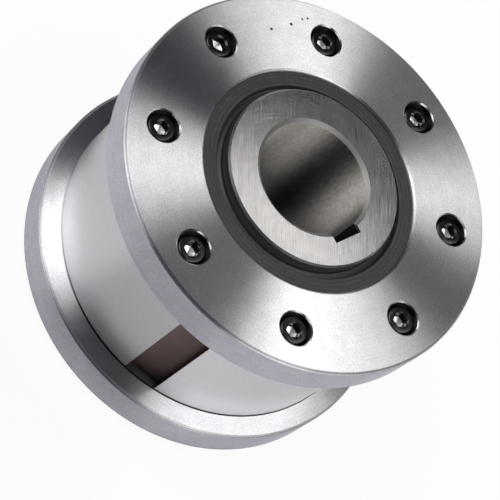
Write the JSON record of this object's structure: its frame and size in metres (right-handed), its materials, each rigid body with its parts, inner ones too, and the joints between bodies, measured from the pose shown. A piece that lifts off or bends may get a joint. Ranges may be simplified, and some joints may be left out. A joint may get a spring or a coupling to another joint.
{
  "type": "overrunning clutch",
  "caption": "Roller overrunning clutch: a keyed inner ring that carries a keyed outer ring on ball bearings, with sprung rollers between them, bolted end flanges and shaft seals.",
  "frame": {"origin": "centre of the rear face of the inner ring, on the shaft axis, where the part stands", "axes": "+Z along the shaft axis, from the rear end to the front end; -X through the middle of the keyway in the outside of the outer ring"},
  "size_m": [0.17, 0.17, 0.11],
  "materials": {
    "inner_ring": "ground",
    "outer_ring": "turned, satin",
    "flange": "turned, satin",
    "gasket": "matt",
    "flange_screw": "black oxide",
    "shaft_seal": "semi-matt",
    "seal_spring": "drawn wire",
    "retaining_ring": "phosphated",
    "bearing_race": "ground",
    "bearing_cage": "machined",
    "bearing_ball": "polished",
    "roller": "ground",
    "plunger": "hardened",
    "plunger_spring": "drawn wire"
  },
  "bodies": {
    "inner_ring_assembly": {"inner_ring": "inner_ring", "front_bearing_inner_race": "bearing_race", "rear_bearing_inner_race": "bearing_race", "front_retaining_ring": "retaining_ring", "rear_retaining_ring": "retaining_ring", "plunger_spring_1": "plunger_spring", "plunger_spring_2": "plunger_spring", "plunger_spring_3": "plunger_spring", "plunger_spring_4": "plunger_spring", "plunger_spring_5": "plunger_spring", "plunger_spring_6": "plunger_spring", "plunger_spring_7": "plunger_spring", "plunger_spring_8": "plunger_spring"},
    "outer_ring_assembly": {"outer_ring": "outer_ring", "front_flange": "flange", "front_gasket": "gasket", "front_flange_screws": "flange_screw", "front_shaft_seal": "shaft_seal", "front_seal_spring": "seal_spring", "front_bearing_outer_race": "bearing_race", "rear_flange": "flange", "rear_gasket": "gasket", "rear_flange_screws": "flange_screw", "rear_shaft_seal": "shaft_seal", "rear_seal_spring": "seal_spring", "rear_bearing_outer_race": "bearing_race"},
    "front_ball_set": {"front_bearing_cage": "bearing_cage", "front_bearing_balls": "bearing_ball"},
    "rear_ball_set": {"rear_bearing_cage": "bearing_cage", "rear_bearing_balls": "bearing_ball"},
    "plunger_body_1": {"plunger_1": "plunger"},
    "roller_body_1": {"roller_1": "roller"},
    "plunger_body_2": {"plunger_2": "plunger"},
    "roller_body_2": {"roller_2": "roller"},
    "plunger_body_3": {"plunger_3": "plunger"},
    "roller_body_3": {"roller_3": "roller"},
    "plunger_body_4": {"plunger_4": "plunger"},
    "roller_body_4": {"roller_4": "roller"},
    "plunger_body_5": {"plunger_5": "plunger"},
    "roller_body_5": {"roller_5": "roller"},
    "plunger_body_6": {"plunger_6": "plunger"},
    "roller_body_6": {"roller_6": "roller"},
    "plunger_body_7": {"plunger_7": "plunger"},
    "roller_body_7": {"roller_7": "roller"},
    "plunger_body_8": {"plunger_8": "plunger"},
    "roller_body_8": {"roller_8": "roller"}
  },
  "joints": [
    {"name": "outer_ring_spin", "type": "hinge", "parent": "inner_ring_assembly", "child": "outer_ring_assembly", "pos_m": [0, 0, 0.055], "axis": [0, 0, 1], "continuous": true},
    {"name": "front_ball_set_spin", "type": "hinge", "parent": "inner_ring_assembly", "child": "front_ball_set", "pos_m": [0, 0, 0.07825], "axis": [0, 0, 1], "continuous": true},
    {"name": "rear_ball_set_spin", "type": "hinge", "parent": "inner_ring_assembly", "child": "rear_ball_set", "pos_m": [0, 0, 0.03175], "axis": [0, 0, 1], "continuous": true},
    {"name": "plunger_1_slide", "type": "slide", "parent": "inner_ring_assembly", "child": "plunger_body_1", "axis": [0, 1, 0], "range_m": [0, 0.001], "stiffness_N_per_m": 1500, "springref_m": -0.003, "deforming": ["plunger_spring_1"]},
    {"name": "roller_1_spin", "type": "hinge", "parent": "plunger_body_1", "child": "roller_body_1", "pos_m": [0.04754, -0.00584, 0.055], "axis": [0, 0, 1], "continuous": true},
    {"name": "plunger_2_slide", "type": "slide", "parent": "inner_ring_assembly", "child": "plunger_body_2", "axis": [-0.7071, 0.7071, 0], "range_m": [0, 0.001], "stiffness_N_per_m": 1500, "springref_m": -0.003, "deforming": ["plunger_spring_2"]},
    {"name": "roller_2_spin", "type": "hinge", "parent": "plunger_body_2", "child": "roller_body_2", "pos_m": [0.03775, 0.02949, 0.055], "axis": [0, 0, 1], "continuous": true},
    {"name": "plunger_3_slide", "type": "slide", "parent": "inner_ring_assembly", "child": "plunger_body_3", "axis": [-1, 0, 0], "range_m": [0, 0.001], "stiffness_N_per_m": 1500, "springref_m": -0.003, "deforming": ["plunger_spring_3"]},
    {"name": "roller_3_spin", "type": "hinge", "parent": "plunger_body_3", "child": "roller_body_3", "pos_m": [0.00584, 0.04754, 0.055], "axis": [0, 0, 1], "continuous": true},
    {"name": "plunger_4_slide", "type": "slide", "parent": "inner_ring_assembly", "child": "plunger_body_4", "axis": [-0.7071, -0.7071, 0], "range_m": [0, 0.001], "stiffness_N_per_m": 1500, "springref_m": -0.003, "deforming": ["plunger_spring_4"]},
    {"name": "roller_4_spin", "type": "hinge", "parent": "plunger_body_4", "child": "roller_body_4", "pos_m": [-0.02949, 0.03775, 0.055], "axis": [0, 0, 1], "continuous": true},
    {"name": "plunger_5_slide", "type": "slide", "parent": "inner_ring_assembly", "child": "plunger_body_5", "axis": [0, -1, 0], "range_m": [0, 0.001], "stiffness_N_per_m": 1500, "springref_m": -0.003, "deforming": ["plunger_spring_5"]},
    {"name": "roller_5_spin", "type": "hinge", "parent": "plunger_body_5", "child": "roller_body_5", "pos_m": [-0.04754, 0.00584, 0.055], "axis": [0, 0, 1], "continuous": true},
    {"name": "plunger_6_slide", "type": "slide", "parent": "inner_ring_assembly", "child": "plunger_body_6", "axis": [0.7071, -0.7071, 0], "range_m": [0, 0.001], "stiffness_N_per_m": 1500, "springref_m": -0.003, "deforming": ["plunger_spring_6"]},
    {"name": "roller_6_spin", "type": "hinge", "parent": "plunger_body_6", "child": "roller_body_6", "pos_m": [-0.03775, -0.02949, 0.055], "axis": [0, 0, 1], "continuous": true},
    {"name": "plunger_7_slide", "type": "slide", "parent": "inner_ring_assembly", "child": "plunger_body_7", "axis": [1, 0, 0], "range_m": [0, 0.001], "stiffness_N_per_m": 1500, "springref_m": -0.003, "deforming": ["plunger_spring_7"]},
    {"name": "roller_7_spin", "type": "hinge", "parent": "plunger_body_7", "child": "roller_body_7", "pos_m": [-0.00584, -0.04754, 0.055], "axis": [0, 0, 1], "continuous": true},
    {"name": "plunger_8_slide", "type": "slide", "parent": "inner_ring_assembly", "child": "plunger_body_8", "axis": [0.7071, 0.7071, 0], "range_m": [0, 0.001], "stiffness_N_per_m": 1500, "springref_m": -0.003, "deforming": ["plunger_spring_8"]},
    {"name": "roller_8_spin", "type": "hinge", "parent": "plunger_body_8", "child": "roller_body_8", "pos_m": [0.02949, -0.03775, 0.055], "axis": [0, 0, 1], "continuous": true}
  ],
  "couplings": [
    {"joint": "front_ball_set_spin", "follows": "outer_ring_spin", "ratio": 0.54737},
    {"joint": "rear_ball_set_spin", "follows": "outer_ring_spin", "ratio": 0.54737},
    {"joint": "roller_1_spin", "follows": "outer_ring_spin", "ratio": 7.8571},
    {"joint": "roller_2_spin", "follows": "outer_ring_spin", "ratio": 7.8571},
    {"joint": "plunger_2_slide", "follows": "plunger_1_slide", "ratio": 1},
    {"joint": "roller_3_spin", "follows": "outer_ring_spin", "ratio": 7.8571},
    {"joint": "plunger_3_slide", "follows": "plunger_1_slide", "ratio": 1},
    {"joint": "roller_4_spin", "follows": "outer_ring_spin", "ratio": 7.8571},
    {"joint": "plunger_4_slide", "follows": "plunger_1_slide", "ratio": 1},
    {"joint": "roller_5_spin", "follows": "outer_ring_spin", "ratio": 7.8571},
    {"joint": "plunger_5_slide", "follows": "plunger_1_slide", "ratio": 1},
    {"joint": "roller_6_spin", "follows": "outer_ring_spin", "ratio": 7.8571},
    {"joint": "plunger_6_slide", "follows": "plunger_1_slide", "ratio": 1},
    {"joint": "roller_7_spin", "follows": "outer_ring_spin", "ratio": 7.8571},
    {"joint": "plunger_7_slide", "follows": "plunger_1_slide", "ratio": 1},
    {"joint": "roller_8_spin", "follows": "outer_ring_spin", "ratio": 7.8571},
    {"joint": "plunger_8_slide", "follows": "plunger_1_slide", "ratio": 1}
  ]
}
